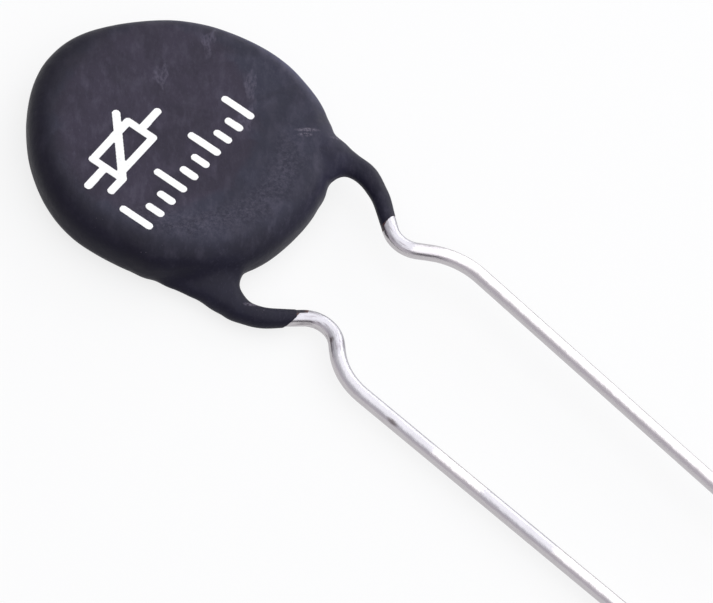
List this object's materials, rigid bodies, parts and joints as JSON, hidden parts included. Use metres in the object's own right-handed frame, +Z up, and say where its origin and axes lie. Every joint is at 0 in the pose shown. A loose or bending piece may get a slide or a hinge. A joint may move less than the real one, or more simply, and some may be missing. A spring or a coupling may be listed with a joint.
{
  "type": "ntc thermistor",
  "caption": "Round power NTC thermistor: a dip-coated flat disc with a pillow edge, coated legs and kinked tinned wire leads that run out side by side.",
  "frame": {"origin": "centre of the flat underside of the coated disc, the face that it rests on", "axes": "+Z up out of the printed face, +X along the wires towards their tips, +Y towards the front wire"},
  "size_m": [0.1355, 0.0486, 0.0087],
  "materials": {
    "dip_coat": "satin cured resin",
    "white_ink": "matt printed ink",
    "tinned_wire": "bright drawn tin",
    "oxide_ceramic": "sintered matt",
    "fired_silver": "matt fired silver",
    "solder": "satin solder"
  },
  "bodies": {
    "root": {"coating": "dip_coat", "face_print": "white_ink", "front_lead": "tinned_wire", "back_lead": "tinned_wire", "ceramic_disc": "oxide_ceramic", "front_electrode": "fired_silver", "back_electrode": "fired_silver", "front_solder": "solder", "back_solder": "solder"}
  },
  "joints": []
}
